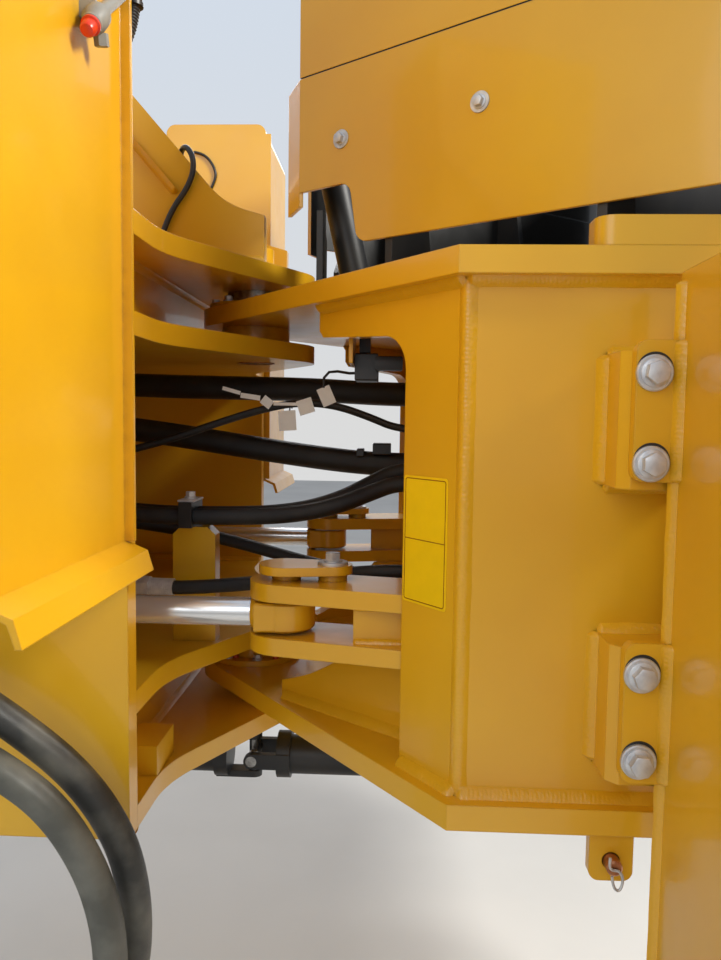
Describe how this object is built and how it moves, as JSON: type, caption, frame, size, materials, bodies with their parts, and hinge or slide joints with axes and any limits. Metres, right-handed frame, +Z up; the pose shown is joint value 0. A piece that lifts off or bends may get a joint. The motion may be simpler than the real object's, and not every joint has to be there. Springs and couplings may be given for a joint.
{
  "type": "centre hitch of an articulated wheel loader",
  "caption": "Centre hitch of a wheel loader: front and rear frame ends hinged on upright pins, with steering cylinders, hoses, fenders, cab skirts and an access ladder.",
  "frame": {"origin": "middle of the rear frame's rear mounting face, half way up its box section", "axes": "+X to the rear of the machine, out of the rear mounting face; +Y to its right; +Z up, along the hinge pins"},
  "size_m": [1.77, 1.715, 1.5348],
  "materials": {
    "machine_paint": "glossy warm yellow paint over welded plate",
    "dark_paint": "satin black paint",
    "bare_steel": "machined steel, lightly greased",
    "zinc_fittings": "zinc plated",
    "chromed_rod": "hard chrome, polished",
    "hose_rubber": "smooth hose rubber"
  },
  "bodies": {
    "rear_frame": {"rear_top_plate": "machine_paint", "rear_bottom_plate": "machine_paint", "rear_wall_left": "machine_paint", "rear_wall_right": "machine_paint", "lower_webs": "machine_paint", "rear_cross_wall": "machine_paint", "rear_bulkhead": "machine_paint", "steering_clevises": "machine_paint", "clevis_keepers": "machine_paint", "bearing_housings": "machine_paint", "cab_mount_pads": "machine_paint", "lock_catch": "machine_paint", "shaft_rear": "dark_paint", "shaft_joint_cross": "bare_steel", "shaft_hanger_rear": "machine_paint", "ladder_pads": "machine_paint", "ladder_frame": "machine_paint", "ladder_steps": "machine_paint", "cab_skirts": "machine_paint", "cab_upper_skirts": "machine_paint", "skirt_brackets": "dark_paint", "hose_fittings_rear": "zinc_fittings", "cab_struts": "dark_paint", "cab_cross_panel": "dark_paint", "hose_main_upper": "hose_rubber", "hose_main_lower": "hose_rubber", "hose_clamped_near": "hose_rubber", "hose_clamped_far": "hose_rubber", "hose_harness": "hose_rubber", "hose_cross": "hose_rubber", "hose_port": "hose_rubber"},
    "front_frame": {"fork_plate_over": "machine_paint", "fork_plate_under": "machine_paint", "fork_plate_lower": "machine_paint", "fork_plate_bottom": "machine_paint", "fork_back_walls": "machine_paint", "front_side_wall_left": "machine_paint", "front_side_wall_right": "machine_paint", "front_bulkhead": "machine_paint", "hose_wall": "machine_paint", "arm_tower": "machine_paint", "hinge_pins": "bare_steel", "steering_stops": "machine_paint", "hose_post": "machine_paint", "barrel_brackets": "machine_paint", "fender_left": "machine_paint", "fender_right": "machine_paint", "shaft_front": "dark_paint", "shaft_hanger_front": "machine_paint", "hose_fittings_front": "zinc_fittings", "port_block": "zinc_fittings", "hanging_hose_fittings": "zinc_fittings", "hose_hanging_outer": "hose_rubber", "hose_hanging_inner": "hose_rubber"},
    "barrel_left": {"cylinder_barrel_left": "machine_paint"},
    "barrel_right": {"cylinder_barrel_right": "machine_paint"},
    "rod_left": {"cylinder_rod_left": "chromed_rod"},
    "rod_right": {"cylinder_rod_right": "chromed_rod"}
  },
  "joints": [
    {"name": "steer", "type": "hinge", "parent": "rear_frame", "child": "front_frame", "pos_m": [-0.95, 0, 0], "axis": [0, 0, 1], "range_deg": [-32, 32], "deforming": ["hose_main_upper", "hose_main_lower", "hose_clamped_near", "hose_clamped_far", "hose_harness", "hose_cross", "hose_port"]},
    {"name": "barrel_left_swing", "type": "hinge", "parent": "front_frame", "child": "barrel_left", "pos_m": [-1.666, -0.352, -0.13], "axis": [0, 0, 1], "range_deg": [-4.2, 4.2]},
    {"name": "rod_left_stroke", "type": "slide", "parent": "barrel_left", "child": "rod_left", "axis": [1, 0.0049, 0], "range_m": [-0.191, 0.191]},
    {"name": "barrel_right_swing", "type": "hinge", "parent": "front_frame", "child": "barrel_right", "pos_m": [-1.666, 0.352, -0.13], "axis": [0, 0, 1], "range_deg": [-4.2, 4.2]},
    {"name": "rod_right_stroke", "type": "slide", "parent": "barrel_right", "child": "rod_right", "axis": [1, -0.0049, 0], "range_m": [-0.191, 0.191]}
  ],
  "couplings": [
    {"joint": "barrel_left_swing", "follows": "steer", "ratio": -0.124},
    {"joint": "rod_left_stroke", "follows": "steer", "m_per_rad": -0.34},
    {"joint": "barrel_right_swing", "follows": "steer", "ratio": -0.124},
    {"joint": "rod_right_stroke", "follows": "steer", "m_per_rad": 0.34}
  ]
}
